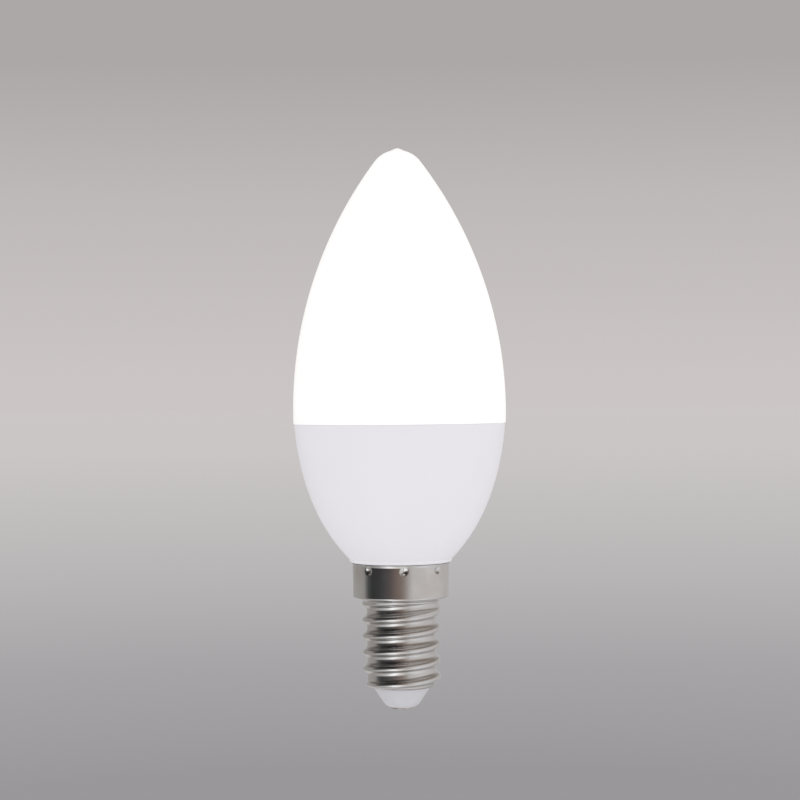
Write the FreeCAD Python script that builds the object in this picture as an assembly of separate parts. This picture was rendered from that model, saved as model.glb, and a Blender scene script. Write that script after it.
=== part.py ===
import FreeCAD, Part
import math
import os

from FreeCAD import Vector

# Candle bulb, upright on its cap: +Z up, the eye in front at -Y, millimetres.
# The origin is the lowest point of the centre contact.

# Heights along the axis.
TIP_Z = 97.6
WIDEST_Z = 51.9
SEAM_Z = 49.75
CHIN_Z = 25.6
CAP_TOP_Z = 25.55
COLLAR_FOOT_Z = 19.9
NECK_Z = 19.05
SHELL_FOOT_Z = 3.9

# Diffuser: one long arc into a round tip with a small gate nub.
BODY_R = 18.5
TIP_R = 5.0
NUB_R = 1.0
NUB_RISE = 0.3
NUB_TAPER = 0.3

# Housing: an ellipse hung below its own centre height, then an arc into the chin.
BOWL_Z = 53.5
BOWL_DROP = 31.0
BLEND_Z = 29.4
CHIN_R = 8.95
CHIN_ROUND = 0.6

# Seam between diffuser and housing.
SPIGOT_R = 17.0
SPIGOT_DEEP = 2.0
SEAM_BREAK = 0.15

# Cap shell: collar, shoulder and rolled Edison thread, size 14.
WALL = 0.3
COLLAR_R = 8.4
COLLAR_ROUND = 0.35
RIM_FLARE = 0.1
RIM_HIGH = 0.5
RIM_ROUND = 0.12
CREST_R = 6.8
PITCH = 2.822
CREST_ROUND = 0.5
THREAD_DEEP = 0.8
CREST_FRONT_Z = 13.67
GROOVE_FULL_Z = 17.2
GROOVE_GONE_Z = 18.6
CREST_FULL_Z = 5.7
CREST_GONE_Z = 4.7
FOOT_ROUND = 0.7
FOOT_HOLE_R = 4.6
INNER_BREAK = 0.75

# Crimp dimples that hold the shell on the housing.
DIMPLES = 8
DIMPLE_PHASE = 3.5
DIMPLE_BELOW_RIM = 1.05
DIMPLE_BALL_R = 0.8
DIMPLE_MOUTH_R = 0.65
GROOVE_HALF = 1.3

# Insulator nose and the nail-shaped contact in it.
NOSE_R = 4.96
NOSE_HALF_ANGLE = 33.0
NOSE_FOOT_Z = 0.35
NOSE_ROUND = 2.0
PLUG_R = 5.1
PLUG_BREAK = 0.35
PLUG_TOP_Z = 6.2
HEAD_R = 2.0
HEAD_FOOT_Z = 0.12
HEAD_SINK = 0.25
HEAD_BREAK = 0.2
PIP_R = 0.45
PIP_BREAK = 0.08
SHANK_R = 0.9
SHANK_BREAK = 0.3
SHANK_TOP_Z = 7.2

# Clearances of the fits.
PRESS = 0.02
EASY = 0.05

# Sampling of the rolled wall.
COLUMNS = 28
ROWS_PER_PITCH = 10

ROOT_R = CREST_R - THREAD_DEEP
# Crest and root arcs touch half a pitch apart, which fixes the sum of their radii.
ARC_SUM = (THREAD_DEEP ** 2 + PITCH ** 2 / 4) / (2 * THREAD_DEEP)
ROOT_ROUND = ARC_SUM - CREST_ROUND
DIMPLE_Z = CAP_TOP_Z - DIMPLE_BELOW_RIM
DIMPLE_AXIS_R = COLLAR_R + math.sqrt(DIMPLE_BALL_R ** 2 - DIMPLE_MOUTH_R ** 2)


def point(radius, height):
    return Vector(radius, 0, height)


def line(a, b):
    return Part.LineSegment(point(*a), point(*b)).toShape()


def arc(a, middle, b):
    return Part.Arc(point(*a), point(*middle), point(*b)).toShape()


def tangent_arc(start, heading, end):
    """Arc that leaves the start along the heading and runs to the end."""
    reach = Vector(end[0] - start[0], end[1] - start[1], 0)
    aside = Vector(-heading[1], heading[0], 0).normalize()
    bend = reach.dot(reach) / (2 * reach.dot(aside))
    hub = Vector(start[0], start[1], 0) + aside * bend
    halfway = Vector(start[0], start[1], 0) + reach / 2 - hub
    middle = hub + halfway.normalize() * abs(bend)
    return arc(start, (middle.x, middle.y), end)


def turned(edges):
    face = Part.Face(Part.Wire(Part.__sortEdges__(edges)))
    return face.revolve(Vector(0, 0, 0), Vector(0, 0, 1), 360)


def drum(radius, low, high):
    return Part.makeCylinder(radius, high - low, Vector(0, 0, low))


def on_circle(centre, radius, angle):
    return (centre[0] + radius * math.cos(angle), centre[1] + radius * math.sin(angle))


def outline(corners):
    """Closed outline from (radius, height, rounding) corners, in order."""
    edges = []
    runs = []
    count = len(corners)
    for k in range(count):
        before, corner, after = corners[k - 1], corners[k], corners[(k + 1) % count]
        here = (corner[0], corner[1])
        if corner[2] == 0:
            runs.append((here, here))
            continue
        a = Vector(before[0] - here[0], before[1] - here[1], 0).normalize()
        b = Vector(after[0] - here[0], after[1] - here[1], 0).normalize()
        half = a.getAngle(b) / 2
        reach = corner[2] / math.tan(half)
        mid = (a + b).normalize() * (corner[2] / math.sin(half) - corner[2])
        start = (here[0] + a.x * reach, here[1] + a.y * reach)
        end = (here[0] + b.x * reach, here[1] + b.y * reach)
        edges.append(arc(start, (here[0] + mid.x, here[1] + mid.y), end))
        runs.append((start, end))
    for k in range(count):
        a, b = runs[k][1], runs[(k + 1) % count][0]
        if math.dist(a, b) > 1e-6:
            edges.append(line(a, b))
    return edges


def make_diffuser():
    ball = (0.0, TIP_Z - NUB_RISE - TIP_R)
    rise = ball[1] - WIDEST_Z
    flank_r = (BODY_R ** 2 + rise ** 2 - TIP_R ** 2) / (2 * (BODY_R - TIP_R))
    flank = (BODY_R - flank_r, WIDEST_Z)
    lean = math.atan2(rise, ball[0] - flank[0])
    drop = -math.asin((WIDEST_Z - SEAM_Z) / flank_r)
    edge = on_circle(flank, flank_r, drop)
    join = on_circle(flank, flank_r, lean)
    nub = math.acos(NUB_R / TIP_R)
    nub_foot = on_circle(ball, TIP_R, nub)
    floor_z = SEAM_Z - SPIGOT_DEEP
    chamfer = SPIGOT_R - 0.4
    edges = [
        arc(edge, on_circle(flank, flank_r, (drop + lean) / 2), join),
        arc(join, on_circle(ball, TIP_R, (lean + nub) / 2), nub_foot),
        line(nub_foot, (NUB_R - NUB_TAPER, TIP_Z)),
        line((NUB_R - NUB_TAPER, TIP_Z), (0.0, TIP_Z)),
        line((0.0, TIP_Z), (0.0, floor_z)),
        line((0.0, floor_z), (chamfer, floor_z)),
        line((chamfer, floor_z), (SPIGOT_R, floor_z + 0.4)),
        line((SPIGOT_R, floor_z + 0.4), (SPIGOT_R, SEAM_Z)),
        line((SPIGOT_R, SEAM_Z), edge),
    ]
    return turned(edges)


def bowl_radius(height):
    return BODY_R * math.sqrt(1 - ((height - BOWL_Z) / BOWL_DROP) ** 2)


def make_housing():
    """Bowl with a recess for the diffuser's spigot and a grooved neck for the cap."""
    rim_r = bowl_radius(SEAM_Z - SEAM_BREAK)
    chin_z = CHIN_Z + CHIN_ROUND
    ellipse = Part.Ellipse(point(0, BOWL_Z - BOWL_DROP), point(BODY_R, BOWL_Z), point(0, BOWL_Z))
    blend = (bowl_radius(BLEND_Z), BLEND_Z)
    low = ellipse.parameter(point(*blend))
    high = ellipse.parameter(point(rim_r, SEAM_Z - SEAM_BREAK))
    bowl = ellipse.toShape(min(low, high), max(low, high))
    slope = (BODY_R / BOWL_DROP) ** 2 * (BOWL_Z - BLEND_Z) / blend[0]
    recess_z = SEAM_Z - SPIGOT_DEEP - EASY
    recess_r = SPIGOT_R + EASY
    neck_r = COLLAR_R - WALL - PRESS
    neck_z = COLLAR_FOOT_Z + WALL + 0.5
    groove_r = DIMPLE_AXIS_R - DIMPLE_BALL_R - WALL - PRESS
    under = CHIN_R - CHIN_ROUND
    edges = [
        bowl,
        tangent_arc(blend, (-slope, -1.0), (CHIN_R, chin_z)),
        line((rim_r, SEAM_Z - SEAM_BREAK), (rim_r - SEAM_BREAK, SEAM_Z)),
        line((rim_r - SEAM_BREAK, SEAM_Z), (recess_r, SEAM_Z)),
        line((recess_r, SEAM_Z), (recess_r, recess_z)),
        line((recess_r, recess_z), (0.0, recess_z)),
        line((0.0, recess_z), (0.0, neck_z)),
        line((0.0, neck_z), (neck_r - 0.6, neck_z)),
        line((neck_r - 0.6, neck_z), (neck_r, neck_z + 0.6)),
        line((neck_r, neck_z + 0.6), (neck_r, DIMPLE_Z - GROOVE_HALF)),
        line((neck_r, DIMPLE_Z - GROOVE_HALF), (groove_r, DIMPLE_Z - 0.5)),
        line((groove_r, DIMPLE_Z - 0.5), (groove_r, CHIN_Z)),
        line((groove_r, CHIN_Z), (under, CHIN_Z)),
        arc((under, CHIN_Z), on_circle((under, chin_z), CHIN_ROUND, -math.pi / 4), (CHIN_R, chin_z)),
    ]
    return turned(edges)


def rolled_depth(offset, inset):
    """How far the wall lies inside its crest, at a height above a groove's middle."""
    crest = CREST_ROUND - inset
    root = ROOT_ROUND + inset
    s = abs((offset + PITCH / 2) % PITCH - PITCH / 2)
    if s < root * PITCH / 2 / ARC_SUM:
        return THREAD_DEEP - root + math.sqrt(root ** 2 - s ** 2)
    return crest - math.sqrt(crest ** 2 - (PITCH / 2 - s) ** 2)


def clipped(depth, fade):
    """Zero below zero, softly where a fade is at work and exactly elsewhere."""
    return (depth + math.sqrt(depth ** 2 + 0.003 * fade)) / 2


def wall_radius(turn, height, inset):
    """Radius of the rolled wall; inset is zero outside and the wall's thickness inside."""
    crest_z = CREST_FRONT_Z + PITCH * (turn - 0.75)
    groove_z = crest_z - PITCH / 2
    near_groove = groove_z + PITCH * round((height - groove_z) / PITCH)
    near_crest = crest_z + PITCH * round((height - crest_z) / PITCH)
    depth = rolled_depth(height - near_groove, inset)
    gone = (near_groove - GROOVE_FULL_Z) / (GROOVE_GONE_Z - GROOVE_FULL_Z)
    gone = min(max(gone, 0), 1)
    depth = clipped(depth - THREAD_DEEP * gone, gone)
    flat = (CREST_FULL_Z - near_crest) / (CREST_FULL_Z - CREST_GONE_Z)
    flat = min(max(flat, 0), 1)
    rise = clipped(THREAD_DEEP - depth - THREAD_DEEP * flat, flat)
    return ROOT_R - inset + rise


def spline_poles(rows, closed):
    """Poles of a uniform cubic that passes through the given rows."""
    poles = [list(row) for row in rows]
    count = len(rows)
    span = range(count) if closed else range(2, count - 2)
    for sweep in range(24):
        for i in span:
            before, after = poles[i - 1], poles[(i + 1) % count]
            for j, value in enumerate(rows[i]):
                poles[i][j] = (6 * value - before[j] - after[j]) / 4
    return poles


def rolled_body(low, high, inset):
    """Solid inside the rolled wall, one periodic surface closed by two flat ends."""
    steps = round((high - low) / PITCH * ROWS_PER_PITCH)
    places = [0, 1 / 3] + list(range(1, steps)) + [steps - 1 / 3, steps]
    heights = [low + (high - low) * place / steps for place in places]
    xs, ys = [], []
    for height in heights:
        radii = [wall_radius(c / COLUMNS, height, inset) for c in range(COLUMNS)]
        xs.append([r * math.cos(2 * math.pi * c / COLUMNS) for c, r in enumerate(radii)])
        ys.append([r * math.sin(2 * math.pi * c / COLUMNS) for c, r in enumerate(radii)])
    grids = []
    for grid in (spline_poles(xs, False), spline_poles(ys, False)):
        columns = spline_poles([list(column) for column in zip(*grid)], True)
        grids.append(columns)
    poles = []
    for c in range(COLUMNS):
        poles.append([Vector(grids[0][c][k], grids[1][c][k], z) for k, z in enumerate(heights)])
    surface = Part.BSplineSurface()
    surface.buildFromPolesMultsKnots(
        poles,
        [1] * (COLUMNS + 1),
        [4] + [1] * (steps - 1) + [4],
        list(range(COLUMNS + 1)),
        list(range(steps + 1)),
        True,
        False,
        3,
        3,
    )
    wall = surface.toShape()
    ends = [e for e in wall.Edges if e.isClosed()]
    caps = [Part.Face(Part.Wire(e)) for e in ends if e.BoundBox.ZLength < 1e-4]
    skin = Part.Compound([wall] + caps)
    skin.sewShape()
    return Part.Solid(skin.Shells[0])


def dimple_balls(radius):
    balls = []
    for k in range(DIMPLES):
        turn = math.radians(-90 + DIMPLE_PHASE + k * 360 / DIMPLES)
        centre = Vector(DIMPLE_AXIS_R * math.cos(turn), DIMPLE_AXIS_R * math.sin(turn), DIMPLE_Z)
        balls.append(Part.makeSphere(radius, centre))
    return Part.makeCompound(balls)


def foot_edges(body, foot_z):
    return [e for e in body.Edges if e.BoundBox.ZMax < foot_z + 1e-3]


def make_shell():
    """Thin rolled shell: collar, shoulder, thread and turned-in foot, open at the top."""
    collar_low = COLLAR_FOOT_Z - 0.3
    shoulder = (CREST_R - 0.1, NECK_Z - 0.1)
    slope = (collar_low - shoulder[1]) / (COLLAR_R - shoulder[0])
    lift = WALL * math.hypot(1, slope)
    bore_r = COLLAR_R - WALL
    bore_low = collar_low - slope * WALL + lift
    outer_top = turned(outline([
        (0.0, CAP_TOP_Z, 0),
        (0.0, shoulder[1] - 0.2, 0),
        (shoulder[0] - 0.4, shoulder[1] - 0.2, 0),
        (shoulder[0], shoulder[1], 0),
        (COLLAR_R, collar_low, COLLAR_ROUND),
        (COLLAR_R, CAP_TOP_Z - RIM_HIGH, 0),
        (COLLAR_R + RIM_FLARE, CAP_TOP_Z, RIM_ROUND),
    ]))
    rolled = rolled_body(SHELL_FOOT_Z, COLLAR_FOOT_Z, 0.0)
    rolled = rolled.makeFillet(FOOT_ROUND, foot_edges(rolled, SHELL_FOOT_Z))
    outer = outer_top.fuse(rolled)
    inner_top = turned(outline([
        (0.0, CAP_TOP_Z + 1, 0),
        (0.0, shoulder[1] + lift - 0.2, 0),
        (shoulder[0] - WALL - 0.4, shoulder[1] + lift - 0.2, 0),
        (shoulder[0] - WALL, shoulder[1] + lift - slope * WALL, 0),
        (bore_r - COLLAR_ROUND * 0.4, bore_low - slope * COLLAR_ROUND * 0.4, 0),
        (bore_r, bore_low + COLLAR_ROUND * 0.4, 0),
        (bore_r, CAP_TOP_Z - RIM_HIGH, 0),
        (bore_r + RIM_FLARE, CAP_TOP_Z, 0),
        (bore_r + RIM_FLARE, CAP_TOP_Z + 1, 0),
    ]))
    hollow = rolled_body(SHELL_FOOT_Z + WALL, COLLAR_FOOT_Z, WALL)
    inner_foot = (FOOT_ROUND - WALL) * INNER_BREAK
    hollow = hollow.makeChamfer(inner_foot, foot_edges(hollow, SHELL_FOOT_Z + WALL))
    inner = inner_top.cut(dimple_balls(DIMPLE_BALL_R + WALL)).fuse(hollow)
    shell = outer.cut(inner)
    shell = shell.cut(dimple_balls(DIMPLE_BALL_R))
    return shell.cut(drum(FOOT_HOLE_R, SHELL_FOOT_Z - 1, SHELL_FOOT_Z + 1))


def make_insulator():
    """Nose below the shell, a throat through its foot and a plug held above it."""
    slope = math.tan(math.radians(NOSE_HALF_ANGLE))
    foot_r = NOSE_R - slope * (SHELL_FOOT_Z - NOSE_FOOT_Z)
    body = turned(outline([
        (0.0, NOSE_FOOT_Z, 0),
        (foot_r, NOSE_FOOT_Z, NOSE_ROUND),
        (NOSE_R, SHELL_FOOT_Z, 0),
        (FOOT_HOLE_R - PRESS, SHELL_FOOT_Z, 0),
        (FOOT_HOLE_R - PRESS, SHELL_FOOT_Z + WALL, 0),
        (PLUG_R - PLUG_BREAK, SHELL_FOOT_Z + WALL, 0),
        (PLUG_R, SHELL_FOOT_Z + WALL + PLUG_BREAK, 0),
        (PLUG_R, PLUG_TOP_Z - PLUG_BREAK, 0),
        (PLUG_R - PLUG_BREAK, PLUG_TOP_Z, 0),
        (0.0, PLUG_TOP_Z, 0),
    ]))
    bore = drum(SHANK_R + PRESS, NOSE_FOOT_Z - 1, PLUG_TOP_Z + 1)
    seat = drum(HEAD_R + EASY, NOSE_FOOT_Z - 1, NOSE_FOOT_Z + HEAD_SINK)
    return body.cut(bore).cut(seat)


def make_contact():
    head_top = NOSE_FOOT_Z + HEAD_SINK
    return turned(outline([
        (0.0, 0.0, 0),
        (PIP_R - PIP_BREAK, 0.0, 0),
        (PIP_R, PIP_BREAK, 0),
        (PIP_R, HEAD_FOOT_Z, 0),
        (HEAD_R - HEAD_BREAK, HEAD_FOOT_Z, 0),
        (HEAD_R, HEAD_FOOT_Z + HEAD_BREAK, 0),
        (HEAD_R, head_top, 0),
        (SHANK_R, head_top, 0),
        (SHANK_R, SHANK_TOP_Z - SHANK_BREAK, 0),
        (SHANK_R - SHANK_BREAK, SHANK_TOP_Z, 0),
        (0.0, SHANK_TOP_Z, 0),
    ]))


def main():
    os.makedirs("parts", exist_ok=True)
    nodes = {
        "diffuser": make_diffuser(),
        "housing": make_housing(),
        "screw_shell": make_shell(),
        "insulator": make_insulator(),
        "centre_contact": make_contact(),
    }
    for name, shape in nodes.items():
        shape.exportStep("parts/" + name + ".step")
        box = shape.BoundBox
        print(name, shape.isValid(), len(shape.Solids), round(shape.Volume, 1),
              round(box.ZMin, 3), round(box.ZMax, 3), round(box.XMax, 3))


main()
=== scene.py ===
import math

import bmesh
import bpy
from mathutils import Matrix, Vector


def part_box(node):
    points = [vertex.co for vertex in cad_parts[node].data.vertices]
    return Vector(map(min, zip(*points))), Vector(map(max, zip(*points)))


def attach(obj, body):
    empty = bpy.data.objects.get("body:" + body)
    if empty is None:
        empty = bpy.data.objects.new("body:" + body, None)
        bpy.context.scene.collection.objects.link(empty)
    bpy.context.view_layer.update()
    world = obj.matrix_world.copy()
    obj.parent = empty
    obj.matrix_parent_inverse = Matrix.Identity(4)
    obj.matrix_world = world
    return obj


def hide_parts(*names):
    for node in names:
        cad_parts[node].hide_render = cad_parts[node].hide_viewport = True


bl_info = {
    "name": "Candle bulb",
    "version": (1, 0, 0),
    "blender": (4, 5, 0),
    "location": "3D View > Sidebar > Bulb",
    "description": "Builds a lit candle-shaped lamp with a rolled screw cap, piece by piece",
    "category": "Object",
}

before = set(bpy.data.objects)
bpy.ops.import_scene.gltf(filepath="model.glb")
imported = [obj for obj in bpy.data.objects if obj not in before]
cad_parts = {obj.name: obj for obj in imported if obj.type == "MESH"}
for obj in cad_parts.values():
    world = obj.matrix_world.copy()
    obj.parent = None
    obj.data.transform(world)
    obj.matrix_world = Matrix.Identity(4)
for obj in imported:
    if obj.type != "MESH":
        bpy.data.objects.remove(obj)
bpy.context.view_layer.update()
TIP_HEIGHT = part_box("diffuser")[1][2]

MM = 0.001
TURN = 2 * math.pi
FRONT = 0.75  # the front, -Y, in turns from +X

# Meshing
ON_AXIS = 1e-7  # a profile's point closer to the axis than this is a pole
TOUCHING = 1e-6  # points of a profile closer than this are one
SHARP_EDGE = math.radians(38)  # edges that bend by more than this stay sharp
BODY_COLUMNS = 192
SHELL_COLUMNS = 300
NOSE_COLUMNS = 128
CONTACT_COLUMNS = 96
FLANK_STEPS = 90
TIP_STEPS = 14
BOWL_STEPS = 100
THREAD_ROWS = 180
INNER_ROWS = 30
COLLAR_ROWS = 8
DIMPLE_ROWS = 18

# Play and small roundings that stay as they are when a size changes
FIT = 0.02 * MM  # between pieces that are pushed into one another
SEAM_FIT = 0.05 * MM  # round the cover's foot and the contact's head
SPIGOT_ROUND = 0.3 * MM
COVER_EDGE_ROUND = 0.12 * MM
NUB_SPREAD = 1.4  # how far the nub's foot blends out, in nub radii


# Sizes and colours that a user would change


def length(label, text, value):
    """A length given in millimetres, kept in metres and shown to a hundredth of a millimetre."""
    return bpy.props.FloatProperty(
        name=label, description=text, default=value * MM, precision=5, subtype="DISTANCE", unit="LENGTH"
    )


def colour(label, text, value):
    return bpy.props.FloatVectorProperty(
        name=label, description=text, default=value, size=3, min=0, max=1, subtype="COLOR"
    )


def amount(label, text, value, low=0.0, high=1.0):
    return bpy.props.FloatProperty(name=label, description=text, default=value, min=low, max=high)


class BulbEnvelope(bpy.types.PropertyGroup):
    """The glowing cover and the white bowl under it."""

    body_radius: length("Body radius", "Largest radius of the envelope", 18.5)
    widest_height: length("Widest height", "Height at which the envelope is widest", 51.9)
    seam_height: length("Seam height", "Height of the joint between cover and bowl", 49.75)
    tip_radius: length("Tip radius", "Radius of the rounded tip", 5.0)
    nub_radius: length("Nub radius", "Radius of the moulding nub on the tip", 1.0)
    nub_rise: length("Nub rise", "How far the nub stands above the round tip", 0.3)
    spigot_radius: length("Spigot radius", "Radius of the cover's foot inside the bowl", 17.0)
    spigot_depth: length("Spigot depth", "How deep the cover's foot reaches into the bowl", 2.0)
    bowl_height: length("Bowl centre height", "Centre height of the bowl's ellipse", 53.5)
    bowl_drop: length("Bowl drop", "Half length of the bowl's ellipse", 31.0)
    blend_height: length("Blend height", "Height at which the ellipse turns into the chin's arc", 29.4)
    chin_radius: length("Chin radius", "Radius of the bowl's lower edge", 8.95)
    chin_height: length("Chin height", "Underside of the bowl above the cap", 25.6)
    chin_round: length("Chin rounding", "Rounding of the bowl's lower edge", 0.6)


class BulbCap(bpy.types.PropertyGroup):
    """The rolled metal cap, its insulator and its contact."""

    wall: length("Wall", "Thickness of the rolled sheet", 0.3)
    top_height: length("Cap height", "Height of the collar's rim above the contact", 25.55)
    collar_radius: length("Collar radius", "Radius of the plain collar", 8.4)
    collar_foot: length("Collar foot", "Height at which the collar turns in", 19.9)
    collar_round: length("Collar rounding", "Rounding of the collar's lower corner", 0.35)
    rim_flare: length("Rim flare", "How far the collar's rim stands out", 0.1)
    rim_high: length("Rim height", "Height of the flared rim", 0.45)
    rim_round: length("Rim rounding", "Rounding of the rim's edges", 0.05)
    neck_height: length("Neck height", "Height at which the shoulder meets the thread", 19.05)
    crest_radius: length("Crest radius", "Radius over the thread's crests", 6.8)
    pitch: length("Pitch", "Distance from one crest to the next", 2.822)
    crest_round: length("Crest rounding", "Radius of the thread's rounded crests", 0.62)
    thread_depth: length("Thread depth", "Depth of the roots below the crests", 0.8)
    crest_front: length("Crest height in front", "Height of a crest where it crosses the front", 13.54)
    groove_full: length("Groove full", "Height up to which the top groove has its full depth", 17.85)
    groove_gone: length("Groove gone", "Height at which the top groove has run out", 18.8)
    crest_full: length("Crest full", "Height down to which the last crest is whole", 5.7)
    crest_gone: length("Crest gone", "Height at which the last crest has run out", 3.7)
    foot_height: length("Foot height", "Height of the shell's turned-in foot", 3.9)
    foot_round: length("Foot rounding", "Rounding of the shell's lower corner", 0.8)
    foot_hole: length("Foot hole", "Radius of the hole for the insulator", 4.6)
    dimples: bpy.props.IntProperty(
        name="Dimples", description="Crimp dimples round the collar", default=8, min=1
    )
    dimple_phase: bpy.props.FloatProperty(
        name="Dimple phase",
        description="Turn of the first dimple from the front",
        default=math.radians(3.5),
        subtype="ANGLE",
    )
    dimple_drop: length("Dimple drop", "Distance of the dimples below the rim", 1.05)
    dimple_radius: length("Dimple radius", "Radius of a dimple's mouth", 0.65)
    dimple_depth: length("Dimple depth", "Depth of a dimple", 0.36)
    nose_radius: length("Nose radius", "Radius of the insulator where it leaves the shell", 4.96)
    nose_foot: length("Nose foot", "Height of the insulator's underside", 0.35)
    nose_foot_radius: length("Nose foot radius", "Radius of the insulator's underside", 2.65)
    nose_round: length("Nose rounding", "Rounding of the insulator's lower edge", 2.0)
    head_radius: length("Contact radius", "Radius of the contact's head", 2.0)


class BulbFinish(bpy.types.PropertyGroup):
    """Colours and levels of the materials."""

    glow: colour("Glow", "Colour of the lit cover", (1.0, 0.985, 0.96))
    glow_level: amount("Glow level", "Strength of the lit cover", 0.25, 0, 5)
    cover: colour("Cover", "Colour of the opal plastic", (0.86, 0.86, 0.85))
    housing: colour("Housing", "Colour of the white plastic", (0.817, 0.807, 0.837))
    nickel: colour("Nickel", "Colour of the plated shell", (0.665, 0.655, 0.643))
    insulator: colour("Insulator", "Colour of the insulator", (0.57, 0.57, 0.595))
    tin: colour("Tin", "Colour of the centre contact", (0.66, 0.62, 0.57))


class BulbStage(bpy.types.PropertyGroup):
    """Floor, light and camera."""

    floor_drop: length("Floor drop", "How far the floor lies under the contact", 40.0)
    fill: colour("Fill", "Colour of the even light from all round", (1.0, 0.99, 1.0))
    fill_level: amount("Fill level", "Level of the even light from all round", 1.0, 0, 3)
    key_power: amount("Key power", "Power of the large soft lamp in watts", 0.35, 0, 100)


# Meshes


def finished_object(name, mesh, material):
    """Put a mesh in the scene as an object of the same name, with one material."""
    mesh.name = name
    mesh.materials.clear()
    mesh.materials.append(material)
    piece = bpy.data.objects.new(name, mesh)
    bpy.context.scene.collection.objects.link(piece)
    return piece


def corner_path(corners, fineness=6):
    """Points along straight runs whose corners are rounded, from (radius, height, rounding).

    The fineness is the number of steps in a quarter turn.
    """
    points = []
    for k, (r, z, rounding) in enumerate(corners):
        here = Vector((r, z))
        if rounding == 0 or k in (0, len(corners) - 1):
            points.append((r, z))
            continue
        a = (Vector(corners[k - 1][:2]) - here).normalized()
        b = (Vector(corners[k + 1][:2]) - here).normalized()
        half = a.angle(b) / 2
        centre = here + (a + b).normalized() * rounding / math.sin(half)
        start = here + a * rounding / math.tan(half) - centre
        end = here + b * rounding / math.tan(half) - centre
        sweep = start.angle_signed(end)
        steps = max(2, round(abs(sweep) / (TURN / 4) * fineness))
        points += swung_points(centre, start, -sweep, steps)
    return points


def swung_points(hub, arm, sweep, steps):
    """Points that the end of an arm passes while it swings about the hub."""
    points = []
    for s in range(steps + 1):
        turn = sweep * s / steps
        points.append((
            hub.x + arm.x * math.cos(turn) - arm.y * math.sin(turn),
            hub.y + arm.x * math.sin(turn) + arm.y * math.cos(turn),
        ))
    return points


def arc_points(centre, radius, start, end, steps):
    """Points on an arc about a centre, from one angle to another."""
    points = []
    for s in range(steps + 1):
        turn = start + (end - start) * s / steps
        points.append((centre[0] + radius * math.cos(turn), centre[1] + radius * math.sin(turn)))
    return points


def tangent_points(start, heading, end, steps):
    """Points on the arc that leaves the start along the heading and runs to the end."""
    reach = Vector(end) - Vector(start)
    aside = Vector((-heading[1], heading[0])).normalized()
    hub = Vector(start) + aside * reach.length_squared / (2 * reach.dot(aside))
    arm = Vector(start) - hub
    return swung_points(hub, arm, -arm.angle_signed(Vector(end) - hub), steps)


def turned_mesh(name, profile, columns, ring=False):
    """Turn a profile about the axis; a ring's profile closes on itself, others end on the axis."""
    mesh = bpy.data.meshes.new(name)
    work = bmesh.new()
    rows = []
    for r, z in profile:
        if r < ON_AXIS:
            rows.append([work.verts.new((0, 0, z))])
            continue
        row = []
        for c in range(columns):
            turn = TURN * c / columns
            row.append(work.verts.new((r * math.cos(turn), r * math.sin(turn), z)))
        rows.append(row)
    pairs = list(zip(rows, rows[1:]))
    if ring:
        pairs.append((rows[-1], rows[0]))
    for low, high in pairs:
        for c in range(columns):
            corners = [
                low[c % len(low)],
                low[(c + 1) % len(low)],
                high[(c + 1) % len(high)],
                high[c % len(high)],
            ]
            work.faces.new(list(dict.fromkeys(corners)))
    work.to_mesh(mesh)
    work.free()
    mesh.shade_smooth()
    mesh.set_sharp_from_angle(angle=SHARP_EDGE)
    return mesh


def thinned(points):
    """Leave out points that lie on the one before."""
    kept = [points[0]]
    for p in points[1:]:
        if math.dist(p, kept[-1]) > TOUCHING:
            kept.append(p)
    return kept


def cover_profile(env):
    """Outline of the cover: foot, edge at the seam, long flank, round tip and the nub on it."""
    ball_z = TIP_HEIGHT - env.nub_rise - env.tip_radius
    rise = ball_z - env.widest_height
    taper = env.body_radius - env.tip_radius
    flank_r = (env.body_radius**2 + rise**2 - env.tip_radius**2) / (2 * taper)
    flank = (env.body_radius - flank_r, env.widest_height)
    lean = math.atan2(rise, -flank[0])
    drop = -math.asin((env.widest_height - env.seam_height) / flank_r)
    reach = env.nub_radius * NUB_SPREAD
    foot = env.seam_height - env.spigot_depth
    edge_r = flank[0] + flank_r * math.cos(drop)
    upright = 0.3 * MM
    points = corner_path([
        (0, foot, 0),
        (env.spigot_radius, foot, SPIGOT_ROUND),
        (env.spigot_radius, env.seam_height, 0),
        (edge_r, env.seam_height, COVER_EDGE_ROUND),
        (edge_r + 0.001 * MM, env.seam_height + upright, 0),
    ])[:-1]
    points += arc_points(flank, flank_r, drop + upright / flank_r, lean, FLANK_STEPS)
    nub_edge = math.acos(reach / env.tip_radius)
    points += arc_points((0, ball_z), env.tip_radius, lean, nub_edge, TIP_STEPS)
    for s in range(1, TIP_STEPS + 1):
        r = reach * (1 - s / TIP_STEPS)
        nub = env.nub_rise * (1 + math.cos(math.pi * r / reach)) / 2
        points.append((r, ball_z + math.sqrt(env.tip_radius**2 - r**2) + nub))
    return thinned(points)


def bowl_radius(env, height):
    """Radius of the housing's ellipse at a height."""
    return env.body_radius * math.sqrt(1 - ((height - env.bowl_height) / env.bowl_drop) ** 2)


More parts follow.
